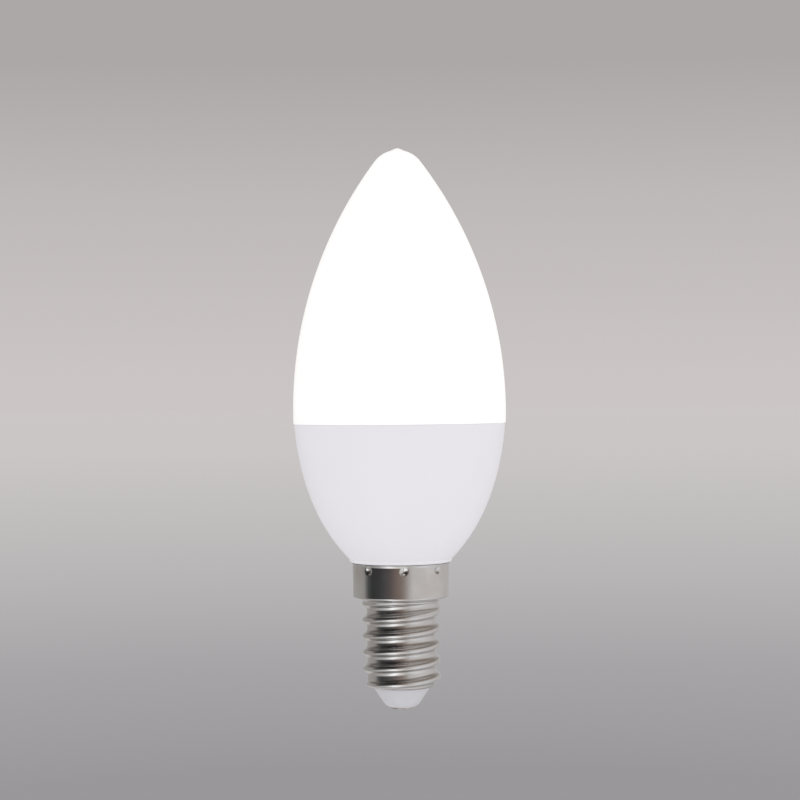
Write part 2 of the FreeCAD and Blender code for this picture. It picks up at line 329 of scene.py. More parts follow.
def bowl_profile(env, cap):
    """Outline of the housing: neck with its groove, chin, bowl, rim and the recess for the cover."""
    neck = cap.collar_radius - cap.wall - FIT
    neck_foot = cap.collar_foot + cap.wall + 0.25 * MM
    lead = 0.6 * MM
    dimple_z = cap.top_height - cap.dimple_drop
    narrows_from, narrow_from = dimple_z - 1.3 * MM, dimple_z - 0.5 * MM
    groove_depth = 0.5 * MM
    chin_z = env.chin_height + env.chin_round
    rim_drop = 0.15 * MM
    rim = env.seam_height - rim_drop
    points = [
        (0, neck_foot),
        (neck - lead, neck_foot),
        (neck, neck_foot + lead),
        (neck, narrows_from),
        (neck - groove_depth, narrow_from),
        (neck - groove_depth, env.chin_height),
    ]
    corner = (env.chin_radius - env.chin_round, chin_z)
    points += arc_points(corner, env.chin_round, -TURN / 4, 0, 12)
    blend = (bowl_radius(env, env.blend_height), env.blend_height)
    slope = (env.body_radius / env.bowl_drop) ** 2 * (env.bowl_height - env.blend_height) / blend[0]
    points += tangent_points(blend, (-slope, -1.0), (env.chin_radius, chin_z), 20)[::-1][1:]
    start = math.asin((env.blend_height - env.bowl_height) / env.bowl_drop)
    end = math.asin((rim - env.bowl_height) / env.bowl_drop)
    for s in range(1, BOWL_STEPS + 1):
        turn = start + (end - start) * s / BOWL_STEPS
        points.append((env.body_radius * math.cos(turn), env.bowl_height + env.bowl_drop * math.sin(turn)))
    top_r = points[-1][0]
    recess = env.spigot_radius + SEAM_FIT
    recess_foot = env.seam_height - env.spigot_depth - SEAM_FIT
    points += [
        (top_r - rim_drop / 3, rim + rim_drop * 0.6),
        (top_r - rim_drop, env.seam_height),
        (recess, env.seam_height),
        (recess, recess_foot),
        (0, recess_foot),
    ]
    return thinned(points)


def nose_profile(cap):
    """Outline of the insulator: seat for the contact, rounded nose, throat and the plug above it."""
    throat = cap.foot_hole - FIT
    sink = cap.nose_foot + 0.25 * MM
    seat = cap.head_radius + SEAM_FIT
    under = cap.foot_height - FIT
    over = cap.foot_height + cap.wall
    plug, plug_top = throat + 0.5 * MM, over + 2.0 * MM
    nose = corner_path([
        (0, cap.nose_foot, 0),
        (cap.nose_foot_radius, cap.nose_foot, cap.nose_round),
        (cap.nose_radius, cap.foot_height, 0),
    ], 30)
    nose = [(r, z) for r, z in nose if r > seat]
    (near_r, near_z), (next_r, next_z) = nose[:2]
    lip = near_z + (next_z - near_z) * (seat - near_r) / (next_r - near_r)
    return thinned([(0, sink), (seat, sink), (seat, lip)] + nose[:-1] + corner_path([
        nose[-2] + (0,),
        (cap.nose_radius, under, 0.06 * MM),
        (throat, under, 0),
        (throat, over, 0),
        (throat + 0.3 * MM, over + 0.1 * MM, 0),
        (plug, over + 0.5 * MM, 0),
        (plug, plug_top, 0.3 * MM),
        (0, plug_top, 0),
    ], 10))


def contact_profile(cap):
    """Outline of the contact's head with the small pip under it."""
    pip, pip_rise, head_top = 0.5 * MM, 0.12 * MM, 0.64 * MM
    return thinned(corner_path([
        (0, 0, 0),
        (pip, 0, 0.1 * MM),
        (pip, pip_rise, 0.03 * MM),
        (cap.head_radius, pip_rise, 0.2 * MM),
        (cap.head_radius, head_top, 0),
        (0, head_top, 0),
    ], 8))


# Sums in node trees

SOFT_RUN_OUT = 3e-9  # square metres, rounds the edge where a groove or crest runs out


class Field:
    """A value in a node tree, so that a sum of such values is written as a sum."""

    def __init__(self, tree, socket):
        self.tree = tree
        self.socket = socket

    def work(self, operation, *others):
        node = self.tree.nodes.new("ShaderNodeMath")
        node.operation = operation
        for k, value in enumerate((self, *others)):
            if isinstance(value, Field):
                self.tree.links.new(value.socket, node.inputs[k])
            else:
                node.inputs[k].default_value = value
        return Field(self.tree, node.outputs[0])

    def __add__(self, other):
        return self.work("ADD", other)

    def __sub__(self, other):
        return self.work("SUBTRACT", other)

    def __mul__(self, other):
        return self.work("MULTIPLY", other)

    def __truediv__(self, other):
        return self.work("DIVIDE", other)

    def between(self, low, high):
        return self.work("MAXIMUM", low).work("MINIMUM", high)

    def squared(self):
        return self * self

    def root(self):
        return self.work("MAXIMUM", 0.0).work("SQRT")

    def mapped(self, low, high, to_low=0.0, to_high=1.0):
        """Stretched from one range over another and held at its ends."""
        node = self.tree.nodes.new("ShaderNodeMapRange")
        node.inputs["From Min"].default_value = low
        node.inputs["From Max"].default_value = high
        node.inputs["To Min"].default_value = to_low
        node.inputs["To Max"].default_value = to_high
        self.tree.links.new(self.socket, node.inputs["Value"])
        return Field(self.tree, node.outputs["Result"])

    def clipped(self, fade):
        """Zero below zero, softly where a fade is at work and exactly elsewhere."""
        return (self + (self.squared() + fade * SOFT_RUN_OUT).root()) * 0.5


def parted(tree, socket):
    """The x, y and z of a vector."""
    split = tree.nodes.new("ShaderNodeSeparateXYZ")
    tree.links.new(socket, split.inputs[0])
    return [Field(tree, split.outputs[k]) for k in range(3)]


# Rule-made shell

SOFT_DIMPLE = 0.004  # rounds the edge of a dimple
DIMPLE_BAND = 2.6 * MM  # height of the collar's upper part, whose rows may be punched
SHOULDER_ROUND = 0.3 * MM
SHOULDER_DROP = 0.3 * MM  # how far the shoulder's outer edge lies under the collar's foot
BEND_OUTSIDE = -TURN / 4 + 0.05  # angle at which the foot's bend starts outside, nearly level
BEND_INSIDE = -TURN / 4 + 0.07  # angle at which it ends inside

# Inputs of the shell's tree, each with the cap's size that goes into it
THREAD_INPUTS = {
    "Crest Radius": "crest_radius",
    "Pitch": "pitch",
    "Crest Rounding": "crest_round",
    "Thread Depth": "thread_depth",
    "Crest Front Height": "crest_front",
    "Groove Full Height": "groove_full",
    "Groove Gone Height": "groove_gone",
    "Crest Full Height": "crest_full",
    "Crest Gone Height": "crest_gone",
    "Collar Radius": "collar_radius",
    "Dimple Count": "dimples",
    "Dimple Phase": "dimple_phase",
    "Dimple Radius": "dimple_radius",
    "Dimple Depth": "dimple_depth",
}


def rolled_shell_tree():
    """Geometry nodes that roll the thread and punch the dimples in a turned blank."""
    tree = bpy.data.node_groups.new("rolled_shell", "GeometryNodeTree")
    interface = tree.interface
    interface.new_socket("Geometry", in_out="INPUT", socket_type="NodeSocketGeometry")
    for label in (*THREAD_INPUTS, "Dimple Height"):
        interface.new_socket(label, in_out="INPUT", socket_type="NodeSocketFloat")
    interface.new_socket("Material", in_out="INPUT", socket_type="NodeSocketMaterial")
    interface.new_socket("Geometry", in_out="OUTPUT", socket_type="NodeSocketGeometry")
    nodes, links = tree.nodes, tree.links
    given = nodes.new("NodeGroupInput")
    made = nodes.new("NodeGroupOutput")

    def size(label):
        return Field(tree, given.outputs[label])

    def stored(label):
        node = nodes.new("GeometryNodeInputNamedAttribute")
        node.data_type = "FLOAT"
        node.inputs["Name"].default_value = label
        return Field(tree, node.outputs["Attribute"])

    x, y, z = parted(tree, nodes.new("GeometryNodeInputPosition").outputs[0])
    radius = (x.squared() + y.squared()).root()
    turn = y.work("ARCTAN2", x) / TURN

    # The thread: round crests and round roots that meet on its flanks
    pitch, deep, roll = size("Pitch"), size("Thread Depth"), size("Crest Rounding")
    inset = stored("inset")
    crest_z = size("Crest Front Height") + pitch * (turn - FRONT)
    groove_z = crest_z - pitch * 0.5
    near_groove = groove_z + pitch * ((z - groove_z) / pitch).work("ROUND")
    near_crest = crest_z + pitch * ((z - crest_z) / pitch).work("ROUND")
    off = (z - near_groove).work("ABSOLUTE")
    arc_sum = (deep.squared() + pitch.squared() * 0.25) / (deep * 2.0)
    root_r = arc_sum - roll + inset
    crest_r = roll - inset
    in_root = off.work("LESS_THAN", root_r * pitch * 0.5 / arc_sum)
    depth_root = deep - root_r + (root_r.squared() - off.squared()).root()
    depth_crest = crest_r - (crest_r.squared() - (pitch * 0.5 - off).squared()).root()
    depth = depth_crest + (depth_root - depth_crest) * in_root
    gone_span = size("Groove Gone Height") - size("Groove Full Height")
    gone = ((near_groove - size("Groove Full Height")) / gone_span).between(0.0, 1.0)
    depth = (depth - deep * gone).clipped(gone)
    flat_span = size("Crest Full Height") - size("Crest Gone Height")
    flat = ((size("Crest Full Height") - near_crest) / flat_span).between(0.0, 1.0)
    rise = (deep - depth - deep * flat).clipped(flat)
    sunk = (deep - rise) * stored("threaded")

    # The dimples: shallow bowls, evenly spaced round the collar
    count = size("Dimple Count")
    step = turn * count + (size("Dimple Phase") * -1.0 + TURN * (1 - FRONT)) / TURN * count
    aside = (step - step.work("ROUND")) / count * TURN * size("Collar Radius")
    away = (aside.squared() + (z - size("Dimple Height")).squared()).root() / size("Dimple Radius")
    bowl = (away.squared() * -1.0 + 1.0) * 0.5
    bowl = bowl + (bowl.squared() + SOFT_DIMPLE).root() - SOFT_DIMPLE
    punched = bowl.between(0.0, 1.0) * size("Dimple Depth") * stored("collar")

    share = (radius - sunk - punched) / radius
    joined = nodes.new("ShaderNodeCombineXYZ")
    for k, value in enumerate((x * share, y * share, z)):
        links.new(value.socket, joined.inputs[k])
    moved = nodes.new("GeometryNodeSetPosition")
    links.new(given.outputs["Geometry"], moved.inputs["Geometry"])
    links.new(joined.outputs[0], moved.inputs["Position"])
    real = nodes.new("GeometryNodeRealizeInstances")
    links.new(moved.outputs[0], real.inputs[0])
    coated = nodes.new("GeometryNodeSetMaterial")
    links.new(real.outputs[0], coated.inputs["Geometry"])
    links.new(given.outputs["Material"], coated.inputs["Material"])
    links.new(coated.outputs[0], made.inputs[0])
    return tree


def run_tree(blank, tree, values):
    """Run a geometry tree on an object and give back its result as a plain mesh."""
    modifier = blank.modifiers.new("rule", "NODES")
    modifier.node_group = tree
    sockets = {s.name: s.identifier for s in tree.interface.items_tree if s.in_out == "INPUT"}
    for label, value in values.items():
        modifier[sockets[label]] = value
    blank.update_tag()
    seen = bpy.context.evaluated_depsgraph_get()
    mesh = bpy.data.meshes.new_from_object(blank.evaluated_get(seen))
    blank.modifiers.clear()
    bpy.data.objects.remove(blank)
    return mesh


def straight(r, start, end, steps):
    """Even rows along a straight wall, without the one it starts from."""
    return [(r, start + (end - start) * s / steps) for s in range(1, steps + 1)]


ROW_MARKS = ("inset", "threaded", "collar")


def shell_blank(cap):
    """Plain turned sheet before rolling, from the foot up outside and down again inside.

    Each row is (radius, height, inset, threaded, collar). The marks tell the rule how deep
    in the sheet the row lies, and whether it takes the thread or the dimples.
    """
    rows = []

    def add(points, inset=0.0, threaded=0.0, collar=0.0):
        for r, z in points:
            rows.append((r, z, inset, threaded, collar))

    crest, collar, foot = cap.crest_radius, cap.collar_radius, cap.foot_height
    corner = foot + cap.foot_round
    centre = (crest - cap.foot_round, corner)
    add([(cap.foot_hole, foot)])
    add(arc_points(centre, cap.foot_round, BEND_OUTSIDE, 0, 12), threaded=1)
    plain = cap.neck_height - 0.25 * MM
    add(straight(crest, corner, plain, THREAD_ROWS), threaded=1)
    low = cap.top_height - DIMPLE_BAND
    shoulder = corner_path([
        (crest, plain, 0),
        (crest, cap.neck_height, SHOULDER_ROUND),
        (collar, cap.collar_foot - SHOULDER_DROP, cap.collar_round),
        (collar, low, 0),
    ], 8)[1:-1]
    add(shoulder)
    bend = shoulder[-1][1]
    add([(collar, bend + (low - bend) * 0.3 / COLLAR_ROWS)])
    add(straight(collar, bend, low, COLLAR_ROWS))
    top = cap.top_height - cap.rim_high
    near = top - 0.2 * MM
    flare_bend = 0.5 * MM
    add(straight(collar, low, near, DIMPLE_ROWS)[:-1], collar=1)
    inner = collar - cap.wall
    add(corner_path([
        (collar, near, 0),
        (collar, top, flare_bend),
        (collar + cap.rim_flare, cap.top_height, cap.rim_round),
        (inner + cap.rim_flare, cap.top_height, cap.rim_round),
        (inner, top, flare_bend),
        (inner, near, 0),
    ], 8), collar=1)
    add(straight(inner, near, low, 4), collar=1)
    bore = crest - cap.wall
    inner_foot, bore_top = cap.collar_foot - 0.06 * MM, cap.neck_height + 0.12 * MM
    add(corner_path([
        (inner, low, 0),
        (inner, inner_foot, cap.collar_round * 0.5),
        (bore, bore_top, 0),
    ], 5)[1:-1])
    high = cap.neck_height + 0.1 * MM
    add([(bore, high)] + straight(bore, high, corner, INNER_ROWS), inset=cap.wall, threaded=1)
    add(arc_points(centre, cap.foot_round - cap.wall, 0, BEND_INSIDE, 5)[1:], inset=cap.wall, threaded=1)
    add([(cap.foot_hole, foot + cap.wall)])
    return rows


def shell_mesh(cap, material):
    """Turn the blank, run the rule on it and give back the rolled sheet."""
    rows = shell_blank(cap)
    blank_mesh = turned_mesh("screw_shell_blank", [row[:2] for row in rows], SHELL_COLUMNS, ring=True)
    for k, label in enumerate(ROW_MARKS, start=2):
        layer = blank_mesh.attributes.new(label, "FLOAT", "POINT")
        layer.data.foreach_set("value", [row[k] for row in rows for c in range(SHELL_COLUMNS)])
    blank = bpy.data.objects.new("screw_shell_blank", blank_mesh)
    bpy.context.scene.collection.objects.link(blank)
    values = {label: float(getattr(cap, key)) for label, key in THREAD_INPUTS.items()}
    values["Dimple Height"] = cap.top_height - cap.dimple_drop
    values["Material"] = material
    mesh = run_tree(blank, rolled_shell_tree(), values)
    for label in ROW_MARKS:
        mesh.attributes.remove(mesh.attributes[label])
    return mesh


# Shader effects shared by several finishes

LINE_SCALE = 9000.0  # waves per metre of the lines left by rolling and turning
LINE_SLIP = 0.15 * MM  # step in those lines' noise for one radian round the axis
SMUDGE_LEVEL = 0.45  # noise value above which a smudge makes the metal duller
FILM_RANGE = (0.45, 0.75)  # noise values between which the film of tarnish sets in


def new_group(name, takes, gives):
    """Empty shader group with named inputs (label, default) and outputs (label, kind)."""
    group = bpy.data.node_groups.new(name, "ShaderNodeTree")
    for label, value in takes:
        kind = "NodeSocketFloat" if isinstance(value, float) else "NodeSocketColor"
        socket = group.interface.new_socket(label, in_out="INPUT", socket_type=kind)
        socket.default_value = value
    for label, kind in gives:
        group.interface.new_socket(label, in_out="OUTPUT", socket_type=kind)
    return group, group.nodes.new("NodeGroupInput"), group.nodes.new("NodeGroupOutput")


def coordinates(tree, kind="Object"):
    """Socket of the object coordinates, or of another kind."""
    return tree.nodes.new("ShaderNodeTexCoord").outputs[kind]


def rgba(value):
    """A colour with full alpha."""
    return (value[0], value[1], value[2], 1.0)


def toned(tree, value, tones):
    """Colours spread over a value's range, from (value, colour) in rising order."""
    low, high = tones[0][0], tones[-1][0]
    ramp = tree.nodes.new("ShaderNodeValToRGB")
    tree.links.new(value.mapped(low, high).socket, ramp.inputs[0])
    points = ramp.color_ramp.elements
    points[0].color, points[1].color = rgba(tones[0][1]), rgba(tones[-1][1])
    for at, tone in tones[1:-1]:
        points.new((at - low) / (high - low)).color = rgba(tone)
    return ramp.outputs[0]


def blended(tree, share, first, second):
    """Mix of two colours, each a socket or a plain colour."""
    node = tree.nodes.new("ShaderNodeMix")
    node.data_type = "RGBA"
    tree.links.new(share.socket, node.inputs[0])
    for k, value in ((6, first), (7, second)):
        if isinstance(value, tuple):
            node.inputs[k].default_value = rgba(value)
        else:
            tree.links.new(value, node.inputs[k])
    return node.outputs[2]


def noise(tree, place, scale, detail):
    """Noise at so many waves per metre."""
    node = tree.nodes.new("ShaderNodeTexNoise")
    node.inputs["Scale"].default_value = scale
    node.inputs["Detail"].default_value = detail
    tree.links.new(place, node.inputs["Vector"])
    return Field(tree, node.outputs[0])


SURFACE_OUTPUTS = (
    ("Colour", "NodeSocketColor"),
    ("Roughness", "NodeSocketFloat"),
    ("Height", "NodeSocketFloat"),
)


def moulded_grain_group():
    """Fine grain and faint clouding of moulded plastic."""
    group, given, made = new_group(
        "moulded_grain",
        [
            ("Colour", (0.8, 0.8, 0.8, 1.0)),
            ("Clouding", 0.02),
            ("Roughness", 0.4),
            ("Roughness Spread", 0.08),
        ],
        SURFACE_OUTPUTS,
    )
    links = group.links
    place = coordinates(group)
    cloud = noise(group, place, 160.0, 3.0)
    grain = noise(group, place, 5200.0, 2.0)
    fine = noise(group, place, 1400.0, 3.0)
    tone = (cloud * 2.0 - 1.0) * Field(group, given.outputs["Clouding"]) + 1.0
    shade = group.nodes.new("ShaderNodeVectorMath")
    shade.operation = "SCALE"
    links.new(given.outputs["Colour"], shade.inputs[0])
    links.new(tone.socket, shade.inputs["Scale"])
    links.new(shade.outputs[0], made.inputs["Colour"])
    spread = (fine - 0.5) * Field(group, given.outputs["Roughness Spread"]) * 2.0
    rough = Field(group, given.outputs["Roughness"]) + spread
    links.new(rough.socket, made.inputs["Roughness"])
    links.new((grain * 0.6 + fine * 0.4).socket, made.inputs["Height"])
    return group


def rolled_metal_group():
    """Lines left by rolling and turning, smudges and a thin film of tarnish on metal."""
    group, given, made = new_group(
        "rolled_metal",
        [
            ("Colour", (0.7, 0.7, 0.7, 1.0)),
            ("Tarnish", (0.4, 0.3, 0.2, 1.0)),
            ("Tarnish Amount", 0.2),
            ("Roughness", 0.15),
            ("Roughness Spread", 0.1),
        ],
        SURFACE_OUTPUTS,
    )
    links = group.links
    place = coordinates(group)
    x, y, z = parted(group, place)
    radius = (x.squared() + y.squared()).root()
    joined = group.nodes.new("ShaderNodeCombineXYZ")
    for k, value in enumerate((z, radius, y.work("ARCTAN2", x) * LINE_SLIP)):
        links.new(value.socket, joined.inputs[k])
    lines = noise(group, joined.outputs[0], LINE_SCALE, 4.0)
    smudge = noise(group, place, 420.0, 4.0)
    film = noise(group, place, 230.0, 5.0)
    share = film.mapped(*FILM_RANGE) * Field(group, given.outputs["Tarnish Amount"])
    filmed = blended(group, share, given.outputs["Colour"], given.outputs["Tarnish"])
    links.new(filmed, made.inputs["Colour"])
    wear = (smudge - SMUDGE_LEVEL) * 1.4 + (lines - 0.5) * 0.8
    spread = wear * Field(group, given.outputs["Roughness Spread"])
    rough = (Field(group, given.outputs["Roughness"]) + spread).between(0.05, 1.0)
    links.new(rough.socket, made.inputs["Roughness"])
    links.new(lines.socket, made.inputs["Height"])
    return group


def effect(name, maker):
    """The shared group, built the first time it is asked for."""
    return bpy.data.node_groups.get(name) or maker()


def new_material(name):
    """Material of one Principled BSDF, with its node tree and that shader."""
    material = bpy.data.materials.new(name)
    material.use_nodes = True
    tree = material.node_tree
    return material, tree, tree.nodes["Principled BSDF"]


def put_group(tree, shader, group, values, bump, depth=0.02 * MM):
    """Place a shared effect with its inputs and join it to the shader, with a bump that deep."""
    node = tree.nodes.new("ShaderNodeGroup")
    node.node_tree = group
    for label, value in values.items():
        node.inputs[label].default_value = value
    tree.links.new(node.outputs["Colour"], shader.inputs["Base Color"])
    tree.links.new(node.outputs["Roughness"], shader.inputs["Roughness"])
    relief = tree.nodes.new("ShaderNodeBump")
    relief.inputs["Strength"].default_value = bump
    relief.inputs["Distance"].default_value = depth
    tree.links.new(node.outputs["Height"], relief.inputs["Height"])
    tree.links.new(relief.outputs[0], shader.inputs["Normal"])
    return node


def height_of(tree):
    """The height over the contact."""
    return parted(tree, coordinates(tree))[2]


# Level of the cover's glow by height, from the seam at 0 to the tip at 1
GLOW_LEVELS = ((0.0, 0.93), (0.06, 0.99), (0.25, 1.0), (0.85, 0.99), (1.0, 0.95))


def opal_material(finish, env):
    """Opal cover lit from inside: even, a little dimmer at its foot and tip."""
    material, tree, shader = new_material("opal_cover")
    put_group(tree, shader, effect("moulded_grain", moulded_grain_group), {
        "Colour": rgba(finish.cover),
        "Clouding": 0.01,
        "Roughness": 0.38,
        "Roughness Spread": 0.05,
    }, bump=0.1)
    span = TIP_HEIGHT - env.seam_height
    tones = [
        (env.seam_height + at * span, [part * level for part in finish.glow])
        for at, level in GLOW_LEVELS
    ]
    tree.links.new(toned(tree, height_of(tree), tones), shader.inputs["Emission Color"])
    shader.inputs["Emission Strength"].default_value = finish.glow_level
    shader.inputs["IOR"].default_value = 1.49
    return material


def housing_material(finish):
    """White plastic of the bowl, even and half matt."""
    material, tree, shader = new_material("white_moulding")
    put_group(tree, shader, effect("moulded_grain", moulded_grain_group), {
        "Colour": rgba(finish.housing),
        "Clouding": 0.012,
        "Roughness": 0.42,
        "Roughness Spread": 0.06,
    }, bump=0.2)
    shader.inputs["Specular IOR Level"].default_value = 0.3
    shader.inputs["IOR"].default_value = 1.46
    return material


def nickel_material(finish, cap):
    """Nickel plate, bright on the collar and duller on the rolled thread."""
    material, tree, shader = new_material("nickel_plate")
    plate = put_group(tree, shader, effect("rolled_metal", rolled_metal_group), {
        "Colour": rgba(finish.nickel),
        "Tarnish": (0.46, 0.4, 0.34, 1.0),
        "Tarnish Amount": 0.35,
        "Roughness Spread": 0.1,
    }, bump=0.06, depth=0.01 * MM)
    thread_top, shoulder = cap.neck_height - 0.65 * MM, cap.neck_height + 0.15 * MM
    dull, bright = 0.21, 0.13
    rough = height_of(tree).mapped(thread_top, shoulder, dull, bright)
    tree.links.new(rough.socket, plate.inputs["Roughness"])
    shader.inputs["Metallic"].default_value = 1.0
    return material


def insulator_material(finish):
    """Pale grey plastic of the insulator."""
    material, tree, shader = new_material("insulator_moulding")
    put_group(tree, shader, effect("moulded_grain", moulded_grain_group), {
        "Colour": rgba(finish.insulator),
        "Clouding": 0.03,
        "Roughness": 0.36,
        "Roughness Spread": 0.1,
    }, bump=0.25)
    return material


def tin_material(finish):
    """Dull tin of the centre contact, with more tarnish than the shell."""
    material, tree, shader = new_material("contact_tin")
    put_group(tree, shader, effect("rolled_metal", rolled_metal_group), {
        "Colour": rgba(finish.tin),
        "Tarnish": (0.3, 0.27, 0.24, 1.0),
        "Tarnish Amount": 0.5,
        "Roughness": 0.32,
        "Roughness Spread": 0.2,
    }, bump=0.3)
    shader.inputs["Metallic"].default_value = 1.0
    return material


# Pieces and stage, one operator each


def hand_over(piece, node):
    """Tell the frame what a piece rides on and hide the node that it replaces."""
    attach(piece, "root")
    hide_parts(node)


class BULB_OT_cover(bpy.types.Operator):
    """Make the glowing opal cover"""

    bl_idname = "bulb.make_cover"
    bl_label = "Opal cover"

    def execute(self, context):
        scene = context.scene
        mesh = turned_mesh("opal_cover", cover_profile(scene.bulb_envelope), BODY_COLUMNS)
        piece = finished_object("opal_cover", mesh, opal_material(scene.bulb_finish, scene.bulb_envelope))
        hand_over(piece, "diffuser")
        return {"FINISHED"}


class BULB_OT_bowl(bpy.types.Operator):
    """Make the white housing between cover and cap"""

    bl_idname = "bulb.make_bowl"
    bl_label = "White housing"

    def execute(self, context):
        scene = context.scene
        profile = bowl_profile(scene.bulb_envelope, scene.bulb_cap)
        mesh = turned_mesh("white_housing", profile, BODY_COLUMNS)
        piece = finished_object("white_housing", mesh, housing_material(scene.bulb_finish))
        hand_over(piece, "housing")
        return {"FINISHED"}


class BULB_OT_shell(bpy.types.Operator):
    """Roll the screw shell: collar, dimples, shoulder, thread and foot"""

    bl_idname = "bulb.make_shell"
    bl_label = "Screw shell"

    def execute(self, context):
        scene = context.scene
        material = nickel_material(scene.bulb_finish, scene.bulb_cap)
        mesh = shell_mesh(scene.bulb_cap, material)
        piece = finished_object("screw_shell_rolled", mesh, material)
        hand_over(piece, "screw_shell")
        return {"FINISHED"}


class BULB_OT_nose(bpy.types.Operator):
    """Make the insulator that closes the shell's foot"""

    bl_idname = "bulb.make_nose"
    bl_label = "Insulator"

    def execute(self, context):
        mesh = turned_mesh("insulator_nose", nose_profile(context.scene.bulb_cap), NOSE_COLUMNS)
        piece = finished_object("insulator_nose", mesh, insulator_material(context.scene.bulb_finish))
        hand_over(piece, "insulator")
        return {"FINISHED"}


class BULB_OT_contact(bpy.types.Operator):
    """Make the centre contact's head with its small pip"""

    bl_idname = "bulb.make_contact"
    bl_label = "Centre contact"

    def execute(self, context):
        mesh = turned_mesh("contact_head", contact_profile(context.scene.bulb_cap), CONTACT_COLUMNS)
        piece = finished_object("contact_head", mesh, tin_material(context.scene.bulb_finish))
        hand_over(piece, "centre_contact")
        return {"FINISHED"}


def key_softbox(power):
    """Large soft lamp in front, above and a little to the right, that mirrors don't see."""
    place, aim, width = Vector((0.3, -1.0, 0.7)), Vector((0, 0, 0.05)), 0.9
    light = bpy.data.lights.new("key_softbox", "AREA")
    light.shape = "RECTANGLE"
    light.size = light.size_y = width
    light.energy = power
    holder = bpy.data.objects.new("key_softbox", light)
    bpy.context.scene.collection.objects.link(holder)
    holder.location = place
    holder.rotation_euler = (aim - place).to_track_quat("-Z", "Y").to_euler()
    holder.visible_glossy = False


# The tone tables hold (value, colour) in rising order. The first three go by degrees from the
# front, with the right side positive, and their ends meet behind.

# What stands round the lamp: a dark flag on the left, a brownish edge in front, a wide soft light
# on the right, middle grey behind.
SURROUNDINGS = (
    (-180, (0.56, 0.555, 0.555)),
    (-150, (0.43, 0.42, 0.41)),
    (-113, (0.42, 0.4, 0.385)),
    (-99, (0.37, 0.36, 0.35)),
    (-86, (0.095, 0.095, 0.095)),
    (-73, (0.04, 0.042, 0.044)),
    (-55, (0.052, 0.053, 0.056)),
    (-40, (0.078, 0.075, 0.076)),
    (-26, (0.12, 0.102, 0.1)),
    (-11, (0.22, 0.17, 0.155)),
    (0, (0.27, 0.215, 0.19)),
    (9, (0.35, 0.3, 0.275)),
    (18, (0.52, 0.5, 0.49)),
    (28, (0.69, 0.675, 0.672)),
    (70, (0.76, 0.74, 0.74)),
    (115, (0.66, 0.635, 0.63)),
    (150, (0.56, 0.54, 0.535)),
    (180, (0.56, 0.555, 0.555)),
)
# The table under the lamp: brightest in front on the left.
TABLE = (
    (-180, (0.48, 0.47, 0.475)),
    (-160, (0.7, 0.69, 0.7)),
    (-138, (0.42, 0.4, 0.39)),
    (-115, (0.4, 0.385, 0.37)),
    (-85, (0.55, 0.54, 0.535)),
    (-55, (0.75, 0.75, 0.76)),
    (-30, (1.6, 1.62, 1.68)),
    (-10, (1.1, 1.09, 1.1)),
    (7, (0.88, 0.86, 0.85)),
    (22, (0.62, 0.6, 0.59)),
    (45, (0.88, 0.88, 0.9)),
    (60, (0.93, 0.94, 0.985)),
    (108, (0.72, 0.71, 0.73)),
    (150, (0.4, 0.39, 0.39)),
    (180, (0.48, 0.47, 0.475)),
)
# What hangs over the lamp: dark on the left, brownish elsewhere.
CEILING = (
    (-180, (0.14, 0.125, 0.115)),
    (-150, (0.15, 0.13, 0.118)),
    (-120, (0.13, 0.11, 0.1)),
    (-95, (0.06, 0.052, 0.05)),
    (-75, (0.005, 0.005, 0.006)),
    (-30, (0.003, 0.003, 0.003)),
    (-5, (0.1, 0.078, 0.07)),
    (20, (0.27, 0.225, 0.195)),
    (80, (0.28, 0.235, 0.2)),
    (150, (0.3, 0.27, 0.25)),
    (180, (0.14, 0.125, 0.115)),
)
# The backdrop above the floor's far edge, by the height of the line of sight: painted light falloff,
# brightest just over the horizon and darker upward.
BACKDROP = (
    (-0.03, (0.6, 0.57, 0.565)),
    (0.01, (0.59, 0.56, 0.555)),
    (0.09, (0.51, 0.485, 0.48)),
    (0.15, (0.41, 0.39, 0.388)),
)
# The floor as the camera sees it, by one over (distance from the axis + LENS_AWAY), per metre: painted
# light falloff, pale far off and darker nearer the axis.
FLOOR_TONES = (
    (0.07, (0.6, 0.57, 0.565)),
    (0.3, (0.585, 0.56, 0.558)),
    (0.6, (0.53, 0.51, 0.512)),
    (0.9, (0.47, 0.458, 0.462)),
    (1.3, (0.385, 0.376, 0.385)),
    (1.8, (0.32, 0.312, 0.322)),
)
# Heights of a mirrored line of sight between which the surroundings give way to ceiling or table
CEILING_EDGE = (0.22, 0.54)
TABLE_EDGE = (-0.25, -0.45)
LENS_AWAY = 380.0 * MM
FLOOR_RADIUS = 12.0
UNSEEN_FLOOR = (0.95, 0.95, 0.95)  # the floor's colour for the light that it sends up
SHADOW_REACH = (0.08, 0.3)  # distances over which the floor's shadow fades out, in metres


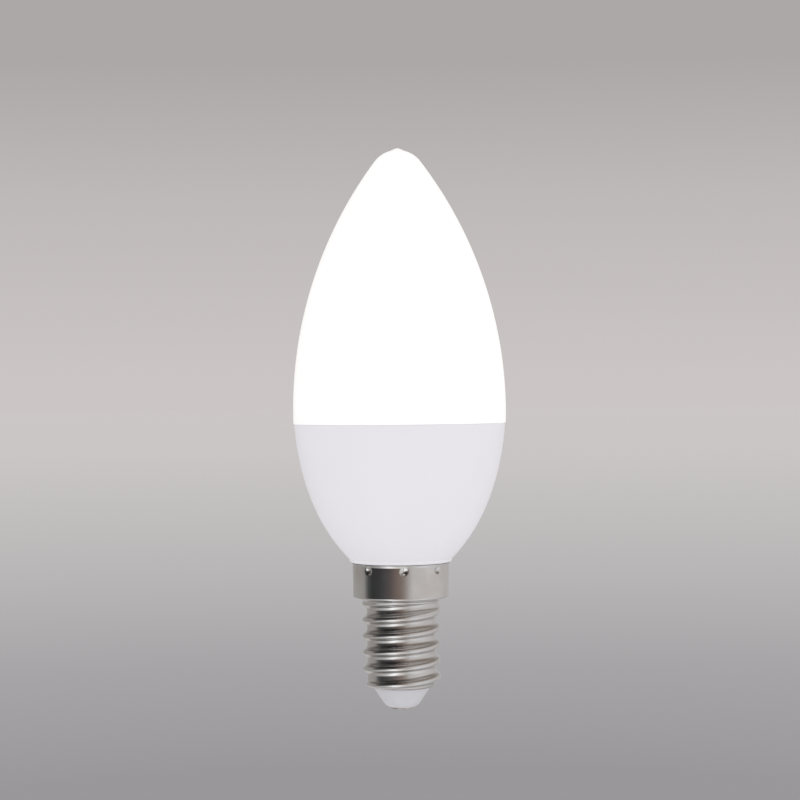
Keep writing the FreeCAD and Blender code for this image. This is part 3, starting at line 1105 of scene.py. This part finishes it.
def studio_world(stage):
    """Even light for matt surfaces; mirrors see the surroundings, the camera the backdrop."""
    world = bpy.data.worlds.new("studio")
    bpy.context.scene.world = world
    world.use_nodes = True
    tree = world.node_tree
    tree.nodes.clear()
    links = tree.links
    x, y, z = parted(tree, coordinates(tree, "Generated"))
    turn = x.work("ARCTAN2", y * -1.0) * (180 / math.pi)
    mirrored = toned(tree, turn, SURROUNDINGS)
    for edge, tones in ((CEILING_EDGE, CEILING), (TABLE_EDGE, TABLE)):
        mirrored = blended(tree, z.mapped(*edge), mirrored, toned(tree, turn, tones))
    # painted light falloff on the backdrop: lighter near the horizon, darker upward
    behind = toned(tree, z, BACKDROP)
    path = tree.nodes.new("ShaderNodeLightPath")
    kinds = ("Is Camera Ray", "Is Glossy Ray", "Is Transmission Ray")
    camera, glossy, passed = (Field(tree, path.outputs[kind]) for kind in kinds)
    lit = tree.nodes.new("ShaderNodeBackground")
    lit.inputs[0].default_value = rgba(stage.fill)
    lit.inputs[1].default_value = stage.fill_level
    seen = tree.nodes.new("ShaderNodeBackground")
    links.new(blended(tree, glossy, behind, mirrored), seen.inputs[0])
    either = camera.work("MAXIMUM", glossy).work("MAXIMUM", passed)
    mix = tree.nodes.new("ShaderNodeMixShader")
    made = tree.nodes.new("ShaderNodeOutputWorld")
    links.new(either.socket, mix.inputs[0])
    links.new(lit.outputs[0], mix.inputs[1])
    links.new(seen.outputs[0], mix.inputs[2])
    links.new(mix.outputs[0], made.inputs[0])


def studio_floor(stage):
    """Wide pale floor that runs into the backdrop without an edge; its tone is painted light falloff,
    lighter far off and darker nearer the axis.
    """
    mesh = bpy.data.meshes.new("studio_floor")
    work = bmesh.new()
    bmesh.ops.create_circle(work, cap_ends=True, segments=96, radius=FLOOR_RADIUS)
    bmesh.ops.translate(work, verts=work.verts, vec=(0, 0, -stage.floor_drop))
    work.to_mesh(mesh)
    work.free()
    material, tree, shader = new_material("studio_floor")
    links = tree.links
    x, y, z = parted(tree, coordinates(tree))
    away = (x.squared() + y.squared()).root()
    # painted light falloff on the floor: darker nearer the axis, paler far off
    tone = toned(tree, (away + LENS_AWAY).work("POWER", -1.0), FLOOR_TONES)
    camera = Field(tree, tree.nodes.new("ShaderNodeLightPath").outputs["Is Camera Ray"])
    links.new(blended(tree, camera, UNSEEN_FLOOR, tone), shader.inputs["Base Color"])
    shader.inputs["Roughness"].default_value = 0.9
    shader.inputs["Specular IOR Level"].default_value = 0.0
    # beyond the shadow's reach the camera sees the floor as a flat glow of that painted tone, not lit
    far = camera * away.mapped(*SHADOW_REACH)
    flat = tree.nodes.new("ShaderNodeEmission")
    links.new(tone, flat.inputs[0])
    mix = tree.nodes.new("ShaderNodeMixShader")
    links.new(far.socket, mix.inputs[0])
    links.new(shader.outputs[0], mix.inputs[1])
    links.new(flat.outputs[0], mix.inputs[2])
    links.new(mix.outputs[0], tree.nodes["Material Output"].inputs["Surface"])
    mesh.materials.append(material)
    piece = bpy.data.objects.new("studio_floor", mesh)
    bpy.context.scene.collection.objects.link(piece)
    piece.visible_glossy = False


def studio_camera():
    """Camera of the photograph: from the front, nearly level, rolled by half a degree."""
    camera = bpy.data.cameras.new("photo_camera")
    camera.lens = 98.2
    camera.sensor_width = 36.0
    camera.clip_start = 0.01
    camera.clip_end = 50.0
    holder = bpy.data.objects.new("photo_camera", camera)
    bpy.context.scene.collection.objects.link(holder)
    place = Vector((0.1 * MM, -LENS_AWAY, 55.2 * MM))
    aim = Vector((0.1 * MM, 0.0, 53.8 * MM))
    look = (aim - place).to_track_quat("-Z", "Y").to_matrix()
    roll = Matrix.Rotation(math.radians(-0.5), 3, "Z")
    holder.matrix_world = Matrix.Translation(place) @ (look @ roll).to_4x4()
    bpy.context.scene.camera = holder


class BULB_OT_stage(bpy.types.Operator):
    """Set the floor, the light and the camera of the photograph"""

    bl_idname = "bulb.make_stage"
    bl_label = "Stage"

    def execute(self, context):
        stage = context.scene.bulb_stage
        context.scene.view_settings.view_transform = "Standard"
        studio_world(stage)
        studio_floor(stage)
        studio_camera()
        key_softbox(stage.key_power)
        return {"FINISHED"}


class BULB_PT_pieces(bpy.types.Panel):
    """Lists the pieces of the lamp and their sizes"""

    bl_idname = "BULB_PT_pieces"
    bl_label = "Candle bulb"
    bl_space_type = "VIEW_3D"
    bl_region_type = "UI"
    bl_category = "Bulb"

    def draw(self, context):
        for operator in OPERATORS:
            self.layout.operator(operator.bl_idname)
        for name in GROUPS:
            box = self.layout.box()
            group = getattr(context.scene, name)
            for key in group.__annotations__:
                box.prop(group, key)


OPERATORS = (
    BULB_OT_stage,
    BULB_OT_cover,
    BULB_OT_bowl,
    BULB_OT_shell,
    BULB_OT_nose,
    BULB_OT_contact,
)
GROUPS = {
    "bulb_envelope": BulbEnvelope,
    "bulb_cap": BulbCap,
    "bulb_finish": BulbFinish,
    "bulb_stage": BulbStage,
}


def register():
    for group in GROUPS.values():
        bpy.utils.register_class(group)
    for name, group in GROUPS.items():
        setattr(bpy.types.Scene, name, bpy.props.PointerProperty(type=group))
    for operator in OPERATORS:
        bpy.utils.register_class(operator)
    bpy.utils.register_class(BULB_PT_pieces)


def unregister():
    bpy.utils.unregister_class(BULB_PT_pieces)
    for operator in reversed(OPERATORS):
        bpy.utils.unregister_class(operator)
    for name, group in GROUPS.items():
        delattr(bpy.types.Scene, name)
        bpy.utils.unregister_class(group)


def main():
    register()
    bpy.ops.bulb.make_stage()
    bpy.ops.bulb.make_cover()
    bpy.ops.bulb.make_bowl()
    bpy.ops.bulb.make_shell()
    bpy.ops.bulb.make_nose()
    bpy.ops.bulb.make_contact()


if __name__ == "__main__":
    main()
